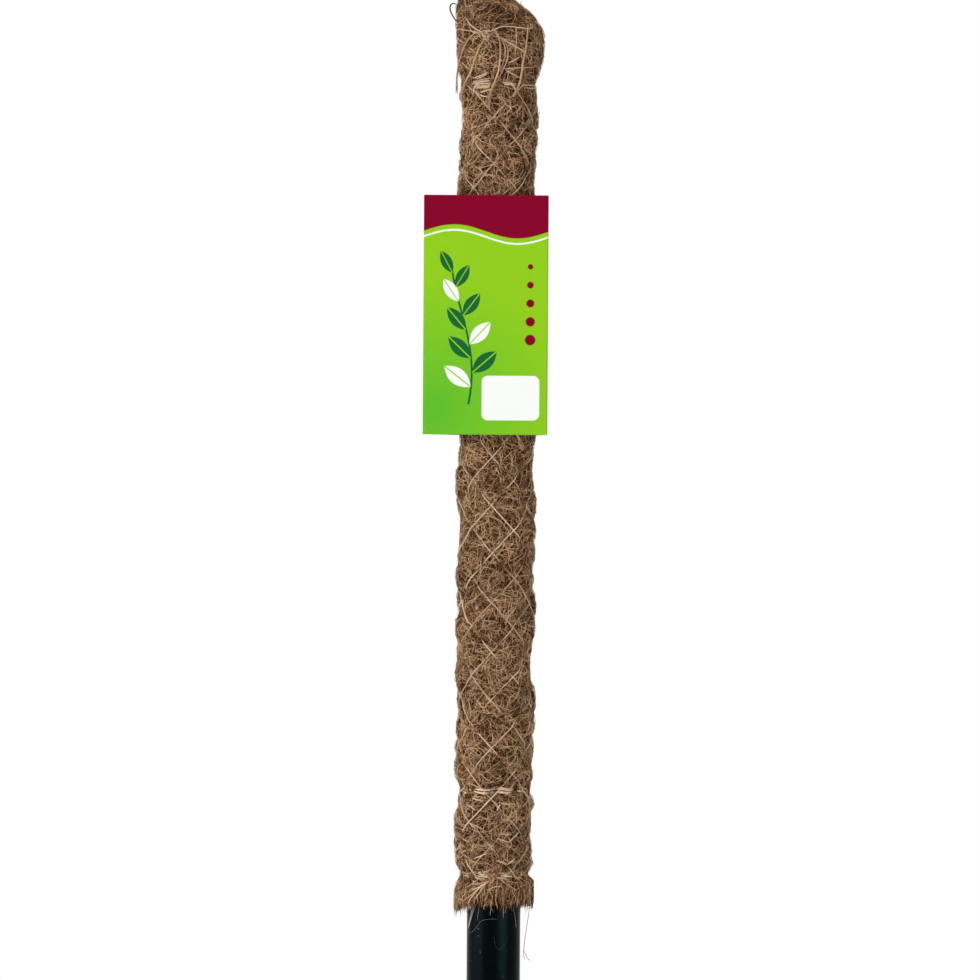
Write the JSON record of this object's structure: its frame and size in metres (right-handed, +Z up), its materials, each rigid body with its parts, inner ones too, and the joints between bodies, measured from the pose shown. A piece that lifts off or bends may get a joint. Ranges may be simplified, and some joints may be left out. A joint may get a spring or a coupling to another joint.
{
  "type": "moss pole",
  "caption": "Plant support pole: a plastic tube in a quilted coir mat bound by crossing twine, with a bare end to push into soil and a card label sleeve that slides on the pole.",
  "frame": {"origin": "centre of the tube's lower end, the end that is pushed into the soil", "axes": "+Z up along the pole's axis, -Y to the front, the way the label's printed face looks, +X to the right as seen from the front"},
  "size_m": [0.0584, 0.0436, 0.6],
  "materials": {
    "tube_plastic": "satin black extruded plastic with fine scuffs and dust",
    "coir": "loose brown coconut fibre pressed into a mat",
    "twine": "pale tan plant-fibre twine, dry and hairy",
    "label_card": "coated white card printed lime green and crimson"
  },
  "bodies": {
    "pole": {"core_tube": "tube_plastic", "coir_mat": "coir", "left_twine_1": "twine", "right_twine_1": "twine", "left_twine_2": "twine", "right_twine_2": "twine", "left_twine_3": "twine", "right_twine_3": "twine", "left_twine_4": "twine", "right_twine_4": "twine", "left_twine_5": "twine", "right_twine_5": "twine", "foot_tie": "twine", "middle_tie": "twine", "head_tie": "twine", "crown_tie": "twine", "foot_knot": "twine", "crown_knot": "twine", "tail_right": "twine", "tail_left": "twine", "tail_side": "twine", "tail_fold": "twine"},
    "label": {"label_sleeve": "label_card"}
  },
  "joints": [
    {"name": "label_slide", "type": "slide", "parent": "pole", "child": "label", "axis": [0, 0, 1], "range_m": [-0.2, 0.036]}
  ]
}
